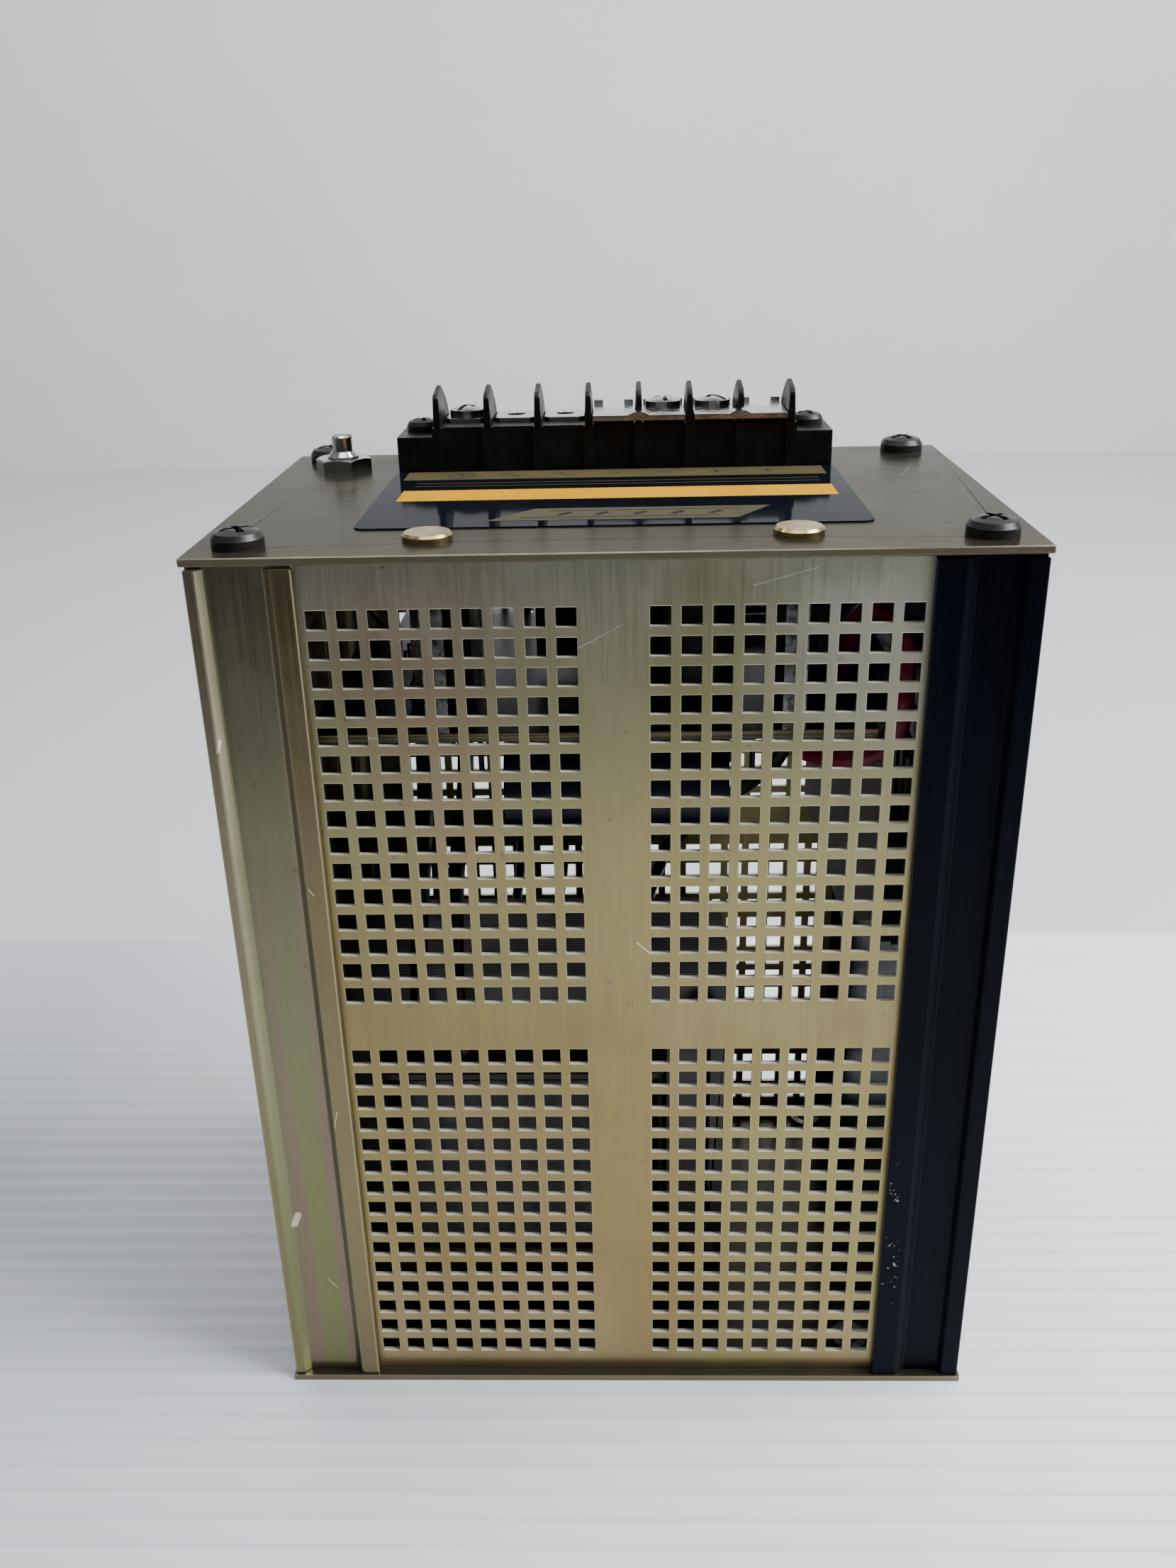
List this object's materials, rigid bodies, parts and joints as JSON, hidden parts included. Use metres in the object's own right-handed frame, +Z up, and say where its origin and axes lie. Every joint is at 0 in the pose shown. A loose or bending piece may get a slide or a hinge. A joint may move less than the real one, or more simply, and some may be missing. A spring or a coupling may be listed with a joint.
{
  "type": "enclosed linear power supply",
  "caption": "Upright enclosed DC power supply with perforated covers, a finned heatsink side, a barrier terminal block and an output adjuster on top.",
  "frame": {"origin": "middle of the underside of the bottom plate", "axes": "+Z up to the terminals, -Y out of the front cover, +X to the heatsink side"},
  "size_m": [0.129, 0.086, 0.1789],
  "materials": {
    "plate_finish": "satin chromate, lightly brushed",
    "cover_finish": "satin yellow chromate",
    "chromated_extrusion": "satin yellow chromate, drawn lines along the height",
    "black_anodise": "satin black anodised",
    "black_steel": "black oxide",
    "zinc_steel": "bright zinc",
    "yellow_zinc": "yellow zinc chromate",
    "label_film": "gloss",
    "black_phenolic": "moulded",
    "nickel": "bright nickel",
    "tinned_brass": "bright tin",
    "brown_board": "matt",
    "green_board": "solder-resist gloss",
    "lamination_steel": "varnished laminations",
    "tan_plastic": "moulded nylon",
    "copper_wire": "enamelled copper",
    "dark_tape": "varnished tape",
    "blue_sleeve": "gloss sleeve",
    "black_sleeve": "gloss sleeve",
    "olive_epoxy": "dipped",
    "black_epoxy": "moulded",
    "tan_ceramic": "matt",
    "white_ceramic": "cement",
    "mica": "clear",
    "grey_card": "matt",
    "grey_insulation": "matt",
    "red_insulation": "satin",
    "black_insulation": "satin",
    "white_insulation": "satin"
  },
  "bodies": {
    "case": {"bottom_plate": "plate_finish", "top_plate": "plate_finish", "left_rail": "chromated_extrusion", "right_heatsink": "black_anodise", "front_cover": "cover_finish", "back_cover": "cover_finish", "top_screws": "black_steel", "bottom_screws": "black_steel", "mount_nuts": "zinc_steel", "plate_rivets": "yellow_zinc", "label": "label_film", "terminal_block": "black_phenolic", "terminal_barriers": "black_phenolic", "terminal_plates": "nickel", "minus_link": "tinned_brass", "plus_link": "tinned_brass", "block_screws": "black_steel", "pot_housing": "zinc_steel", "pot_bushing": "nickel", "pot_nut": "nickel", "pot_track": "brown_board", "board_standoffs": "zinc_steel", "board_screws": "zinc_steel", "circuit_board": "green_board", "transformer_core": "lamination_steel", "bobbin": "tan_plastic", "winding": "copper_wire", "winding_wrap": "dark_tape", "transformer_brackets": "zinc_steel", "core_bolts": "zinc_steel", "core_nuts": "zinc_steel", "foot_screws": "zinc_steel", "foot_nuts": "zinc_steel", "main_capacitor": "blue_sleeve", "output_capacitors": "black_sleeve", "film_capacitors": "olive_epoxy", "rectifier_bridge": "black_epoxy", "regulator_ic": "black_epoxy", "resistors": "tan_ceramic", "power_resistors": "white_ceramic", "diodes": "black_epoxy", "pass_transistors": "black_epoxy", "mica_insulators": "mica", "transistor_screws": "zinc_steel", "insulating_card": "grey_card", "primary_leads": "grey_insulation", "board_lead": "red_insulation", "coil_leads": "black_insulation", "transistor_leads": "black_insulation", "pot_leads": "white_insulation"},
    "adjuster": {"pot_shaft": "nickel", "pot_rotor": "brown_board"},
    "ground_screw": {"ground_screw": "nickel"},
    "minus_sense_screw": {"minus_sense_screw": "nickel"},
    "plus_sense_screw": {"plus_sense_screw": "nickel"}
  },
  "joints": [
    {"name": "output_adjust", "type": "hinge", "parent": "case", "child": "adjuster", "pos_m": [-0.0529, 0.0285, 0.168], "axis": [0, 0, 1], "range_deg": [-150, 150]},
    {"name": "ground_screw_back_out", "type": "slide", "parent": "case", "child": "ground_screw", "axis": [0, 0, 1], "range_m": [0, 0.003]},
    {"name": "minus_sense_screw_back_out", "type": "slide", "parent": "case", "child": "minus_sense_screw", "axis": [0, 0, 1], "range_m": [0, 0.003]},
    {"name": "plus_sense_screw_back_out", "type": "slide", "parent": "case", "child": "plus_sense_screw", "axis": [0, 0, 1], "range_m": [0, 0.003]}
  ]
}
